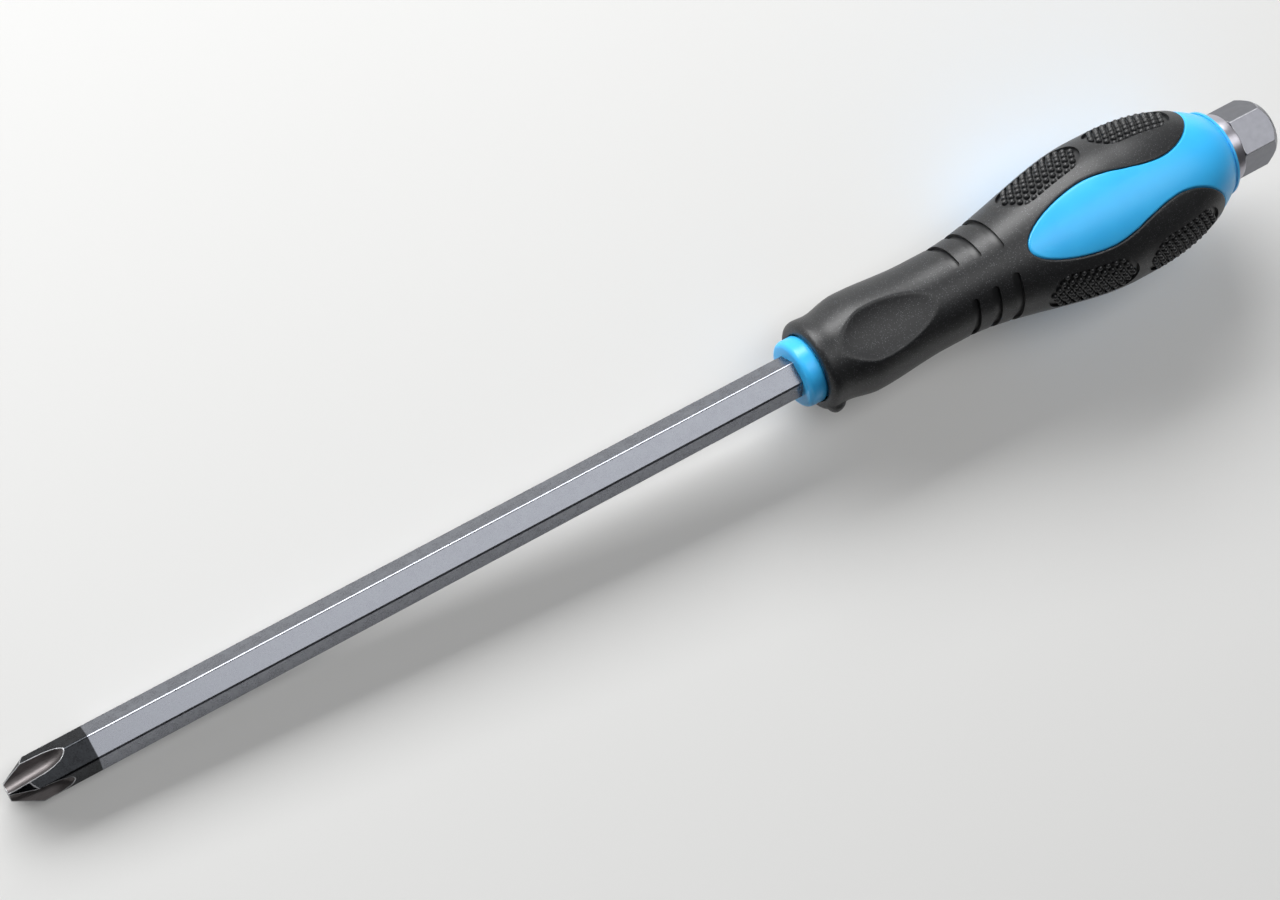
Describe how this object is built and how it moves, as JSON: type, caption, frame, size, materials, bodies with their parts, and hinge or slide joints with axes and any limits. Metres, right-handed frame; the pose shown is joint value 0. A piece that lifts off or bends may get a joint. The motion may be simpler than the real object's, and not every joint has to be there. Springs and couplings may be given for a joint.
{
  "type": "cross-head screwdriver",
  "caption": "Striking screwdriver: hexagonal through-blade with a cross point, hard core with a soft sleeve over it, and a hexagonal cap that takes a hammer or a spanner.",
  "frame": {"origin": "middle of the blunt end of the cross point", "axes": "+X along the tool from the point to the cap, +Z out through the middle of one window of the handle"},
  "size_m": [0.348, 0.04, 0.0398],
  "materials": {
    "blade_steel": "satin, burnished black at the point",
    "blue_plastic": "moulded, semi-gloss",
    "soft_black": "fine moulded grain",
    "ring_steel": "turned, satin",
    "cap_steel": "tumbled, satin"
  },
  "bodies": {
    "root": {"blade": "blade_steel", "handle_core": "blue_plastic", "soft_grip": "soft_black", "cap_ring": "ring_steel", "striking_cap": "cap_steel"}
  },
  "joints": []
}
